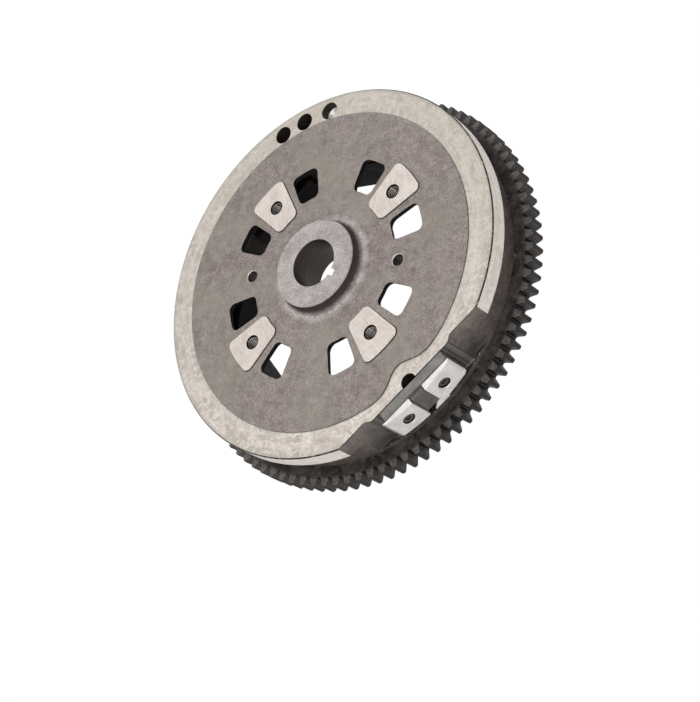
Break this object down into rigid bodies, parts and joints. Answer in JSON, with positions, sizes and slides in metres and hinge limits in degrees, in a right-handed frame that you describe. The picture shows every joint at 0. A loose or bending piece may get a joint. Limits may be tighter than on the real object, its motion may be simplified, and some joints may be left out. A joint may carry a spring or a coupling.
{
  "type": "engine flywheel",
  "caption": "Small-engine flywheel: iron casting with a toothed starter ring, alternator magnets in the rim and an ignition magnet pack in a rim pocket.",
  "frame": {"origin": "on the crank bore's axis, in the plane of the rim's and ring gear's back faces", "axes": "+Z along the bore's axis, out of the fan side; the ignition pocket is at -45 degrees from +X"},
  "size_m": [0.2412, 0.2412, 0.0505],
  "materials": {
    "cast_iron": "as cast, with turned band, annulus and pads",
    "gear_steel": "dark hardened and oiled",
    "ferrite": "matte ferrite",
    "plate_steel": "satin grey",
    "pack_ferrite": "matte ferrite",
    "shoe_steel": "bright turned",
    "screw_steel": "plain steel"
  },
  "bodies": {
    "root": {"flywheel_casting": "cast_iron", "starter_ring_gear": "gear_steel", "alternator_magnet_1": "ferrite", "alternator_magnet_2": "ferrite", "alternator_magnet_3": "ferrite", "alternator_magnet_4": "ferrite", "alternator_magnet_5": "ferrite", "alternator_magnet_6": "ferrite", "alternator_magnet_7": "ferrite", "alternator_magnet_8": "ferrite", "ignition_back_plate": "plate_steel", "ignition_magnet": "pack_ferrite", "magnet_retaining_tab": "shoe_steel", "pole_shoe_left": "shoe_steel", "pole_shoe_right": "shoe_steel", "pole_shoe_screw_left": "screw_steel", "pole_shoe_screw_right": "screw_steel"}
  },
  "joints": []
}
